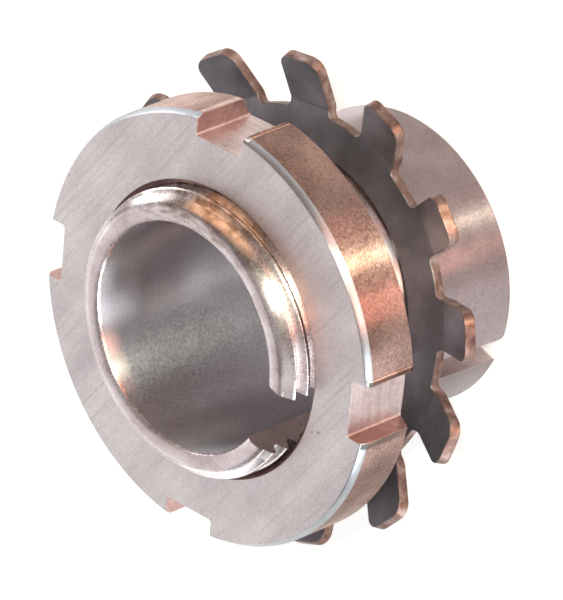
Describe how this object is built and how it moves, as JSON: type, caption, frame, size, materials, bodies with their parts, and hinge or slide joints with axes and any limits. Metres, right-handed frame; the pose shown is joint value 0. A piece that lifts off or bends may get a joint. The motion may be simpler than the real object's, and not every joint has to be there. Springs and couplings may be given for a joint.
{
  "type": "bearing adapter sleeve",
  "caption": "Tapered, slit steel sleeve with a plain bore, a threaded end with a slotted lock nut, and a lock washer with bent outer tabs and an inner tang",
  "frame": {"origin": "centre of the shaft bore, in the end face of the sleeve's large end", "axes": "+Z along the bore from the large end to the threaded end; +X and +Y point at spanner slots of the nut"},
  "size_m": [0.0424, 0.0424, 0.026],
  "materials": {
    "sleeve_steel": "fine turned",
    "nut_steel": "turned",
    "washer_steel": "dark rolled sheet"
  },
  "bodies": {
    "sleeve": {"adapter_sleeve": "sleeve_steel"},
    "nut": {"lock_nut": "nut_steel"},
    "washer": {"lock_washer": "washer_steel"}
  },
  "joints": [
    {"name": "nut_turn", "type": "hinge", "parent": "sleeve", "child": "nut", "pos_m": [0, 0, 0.0199], "axis": [0, 0, 1], "range_deg": [-576, 1990]},
    {"name": "washer_slide", "type": "slide", "parent": "sleeve", "child": "washer", "axis": [0, 0, 1], "range_m": [0, 0.0018]}
  ]
}
